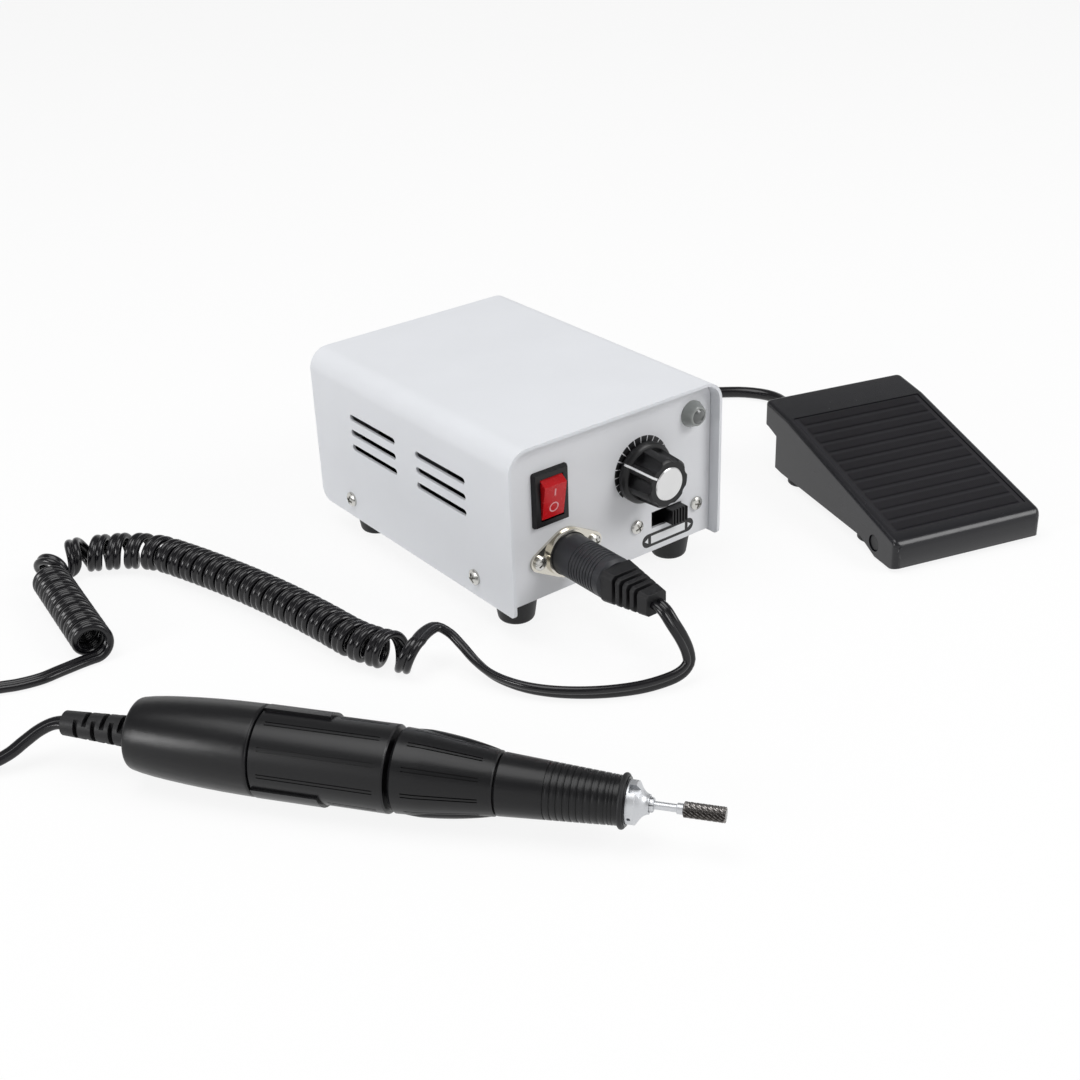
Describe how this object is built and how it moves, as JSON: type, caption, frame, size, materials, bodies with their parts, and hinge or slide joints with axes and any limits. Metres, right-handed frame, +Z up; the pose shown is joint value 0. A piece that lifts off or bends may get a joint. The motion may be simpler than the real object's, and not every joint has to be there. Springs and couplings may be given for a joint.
{
  "type": "dental micromotor",
  "caption": "Bench micromotor set: a folded steel control box with speed knob and switches, a straight collet handpiece on a curly lead, and a foot pedal on its own cord.",
  "frame": {"origin": "on the bench, under the middle of the box, handpiece and pedal together", "axes": "+X to the right along the box's front, +Y to the box's rear, +Z up"},
  "size_m": [0.4028, 0.3371, 0.0722],
  "materials": {
    "white_powder_coat": "satin powder coat",
    "panel_powder_coat": "satin powder coat",
    "black_rubber": "matte moulded rubber",
    "tread_rubber": "ribbed rubber",
    "zinc_steel": "zinc plated",
    "ground_steel": "ground bright",
    "nickel_steel": "bright nickel",
    "carbide": "cut flutes",
    "laminated_iron": "varnished laminations",
    "ferrite": "sintered",
    "copper": "enamelled wire and bars",
    "board_laminate": "solder mask",
    "carbon": "pressed carbon",
    "phenolic": "moulded phenolic",
    "black_plastic": "moulded",
    "pedal_enamel": "black enamel",
    "red_plastic": "translucent red",
    "plated_case": "plated",
    "knob_aluminium": "turned",
    "lamp_plastic": "clear moulded",
    "black_anodised": "black anodised",
    "cord_sheath": "soft vinyl sheath"
  },
  "bodies": {
    "set": {"cover": "white_powder_coat", "chassis": "panel_powder_coat", "rubber_feet": "black_rubber", "foot_screws": "zinc_steel", "cover_screws": "zinc_steel", "transformer_core": "laminated_iron", "transformer_winding": "copper", "circuit_board": "board_laminate", "fuse_holder": "black_plastic", "mains_inlet": "black_plastic", "pedal_jack": "black_plastic", "power_switch": "black_plastic", "speed_control": "plated_case", "pilot_lamp": "lamp_plastic", "pilot_lens": "lamp_plastic", "direction_switch": "black_plastic", "panel_screws": "zinc_steel", "handpiece_socket": "nickel_steel", "handpiece_plug": "black_plastic", "plug_boot": "black_rubber", "handpiece_lead": "cord_sheath", "handpiece_curls": "cord_sheath", "handpiece_tail": "cord_sheath", "handpiece_boot": "black_rubber", "rear_cap": "black_anodised", "motor_case": "black_anodised", "motor_magnets": "ferrite", "brush_holder": "phenolic", "brushes": "carbon", "ball_bearings": "ground_steel", "nose_housing": "black_anodised", "nose_seal": "black_rubber", "nose_cap": "nickel_steel", "pedal_base": "pedal_enamel", "pedal_pivot": "ground_steel", "pedal_spring": "ground_steel", "pedal_microswitch": "black_plastic", "pedal_feet": "black_rubber", "pedal_boot": "black_rubber", "pedal_cord": "cord_sheath", "pedal_cord_coil": "cord_sheath", "pedal_cord_end": "cord_sheath", "pedal_plug": "black_plastic"},
    "rocker": {"power_rocker": "red_plastic"},
    "knob": {"speed_knob": "black_plastic", "knob_cap": "knob_aluminium", "control_shaft": "ground_steel"},
    "slider": {"direction_slider": "black_plastic"},
    "treadle": {"pedal_treadle": "pedal_enamel", "pedal_tread": "tread_rubber"},
    "plunger": {"pedal_plunger": "red_plastic"},
    "sleeve": {"chuck_sleeve": "black_anodised"},
    "release": {"release_ring": "ground_steel"},
    "motor": {"armature_core": "laminated_iron", "commutator": "copper", "motor_shaft": "ground_steel"},
    "spindle": {"spindle": "ground_steel", "collet": "ground_steel"},
    "bur": {"bur": "carbide"}
  },
  "joints": [
    {"name": "rocker_tilt", "type": "hinge", "parent": "set", "child": "rocker", "pos_m": [-0.0199, 0.0044, 0.0492], "axis": [-1, 0, 0], "range_deg": [0, 20]},
    {"name": "knob_turn", "type": "hinge", "parent": "set", "child": "knob", "pos_m": [0.0217, 0.0028, 0.0453], "axis": [0, 1, 0], "range_deg": [-90, 190]},
    {"name": "direction_slide", "type": "slide", "parent": "set", "child": "slider", "axis": [-1, 0, 0], "range_m": [0, 0.0064]},
    {"name": "treadle_press", "type": "hinge", "parent": "set", "child": "treadle", "pos_m": [0.1291, -0.04926, 0.0061], "axis": [-0.9613, 0.2756, 0], "range_deg": [0, 4.5], "stiffness_Nm_per_rad": 2, "springref_deg": -8.59, "deforming": ["pedal_spring"]},
    {"name": "plunger_press", "type": "slide", "parent": "set", "child": "plunger", "axis": [0, 0, -1], "range_m": [0, 0.0016]},
    {"name": "sleeve_twist", "type": "hinge", "parent": "set", "child": "sleeve", "pos_m": [-0.1714, 0.0151, 0.0141], "axis": [0.5997, -0.8002, 0], "range_deg": [0, 30]},
    {"name": "release_slide", "type": "slide", "parent": "set", "child": "release", "axis": [0.5997, -0.8002, 0], "range_m": [0, 0.002]},
    {"name": "motor_spin", "type": "hinge", "parent": "set", "child": "motor", "pos_m": [-0.1714, 0.0151, 0.0141], "axis": [0.5997, -0.8002, 0], "continuous": true},
    {"name": "spindle_spin", "type": "hinge", "parent": "set", "child": "spindle", "pos_m": [-0.1714, 0.0151, 0.0141], "axis": [0.5997, -0.8002, 0], "continuous": true},
    {"name": "bur_pull", "type": "slide", "parent": "spindle", "child": "bur", "axis": [0.5997, -0.8002, 0], "range_m": [0, 0.026]}
  ],
  "couplings": [
    {"joint": "plunger_press", "follows": "treadle_press", "m_per_rad": 0.02},
    {"joint": "release_slide", "follows": "sleeve_twist", "m_per_rad": 0.0038},
    {"joint": "spindle_spin", "follows": "motor_spin", "ratio": 1}
  ]
}
